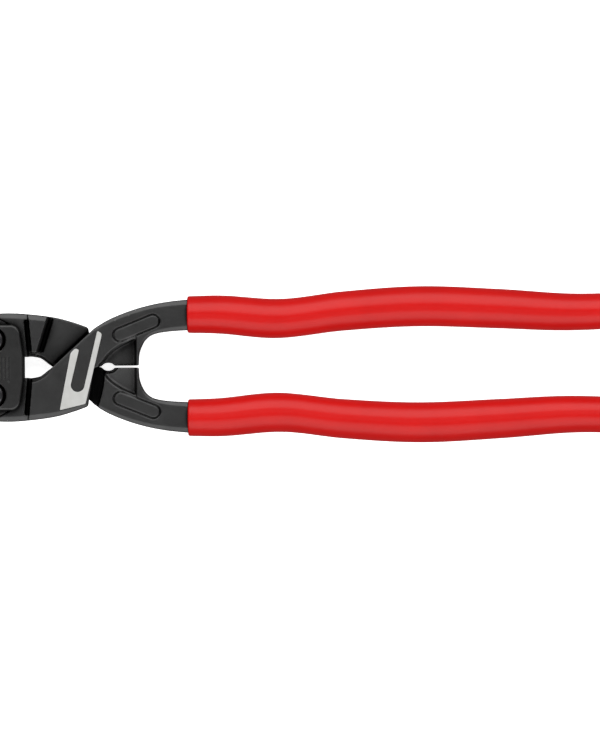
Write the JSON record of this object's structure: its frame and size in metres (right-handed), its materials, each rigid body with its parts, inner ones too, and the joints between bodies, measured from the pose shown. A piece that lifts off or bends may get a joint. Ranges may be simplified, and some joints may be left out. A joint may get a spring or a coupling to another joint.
{
  "type": "compact bolt cutters",
  "caption": "Compact bolt cutters: crossed black forged levers on bolts between side plates, short blades and long red dipped handles that open together.",
  "frame": {"origin": "centre of the bounding box in plan, on the plane that the tool lies on, which is the rear plate's outer face", "axes": "+X along the tool from the blades to the handle ends, +Y towards the upper handle, +Z out of the front plate"},
  "size_m": [0.25, 0.0542, 0.0158],
  "materials": {
    "forged_steel": "black oxide forged steel, satin, with a ground bright band",
    "plate_steel": "black oxide steel plate, satin",
    "bolt_steel": "blackened machined steel",
    "washer_steel": "ground steel",
    "bearing_bronze": "bearing bronze",
    "grip_plastic": "red dip-coated plastic, semi-gloss"
  },
  "bodies": {
    "root": {"front_side_plate": "plate_steel", "rear_side_plate": "plate_steel", "lower_pivot_bolt": "bolt_steel", "lower_pivot_nut": "bolt_steel", "upper_pivot_bolt": "bolt_steel", "upper_pivot_nut": "bolt_steel", "lower_front_thrust_washer": "washer_steel", "lower_rear_thrust_washer": "washer_steel", "upper_front_thrust_washer": "washer_steel", "upper_rear_thrust_washer": "washer_steel"},
    "upper_lever": {"upper_lever": "forged_steel", "upper_grip": "grip_plastic", "lower_pivot_bush": "bearing_bronze"},
    "lower_lever": {"lower_lever": "forged_steel", "lower_grip": "grip_plastic", "upper_pivot_bush": "bearing_bronze"}
  },
  "joints": [
    {"name": "upper_lever_hinge", "type": "hinge", "parent": "root", "child": "upper_lever", "pos_m": [-0.1066, -0.00955, 0.0079], "axis": [0, 0, 1], "range_deg": [0, 15]},
    {"name": "lower_lever_hinge", "type": "hinge", "parent": "root", "child": "lower_lever", "pos_m": [-0.1066, 0.00955, 0.0079], "axis": [0, 0, 1], "range_deg": [-15, 0]}
  ],
  "couplings": [
    {"joint": "lower_lever_hinge", "follows": "upper_lever_hinge", "ratio": -1}
  ]
}
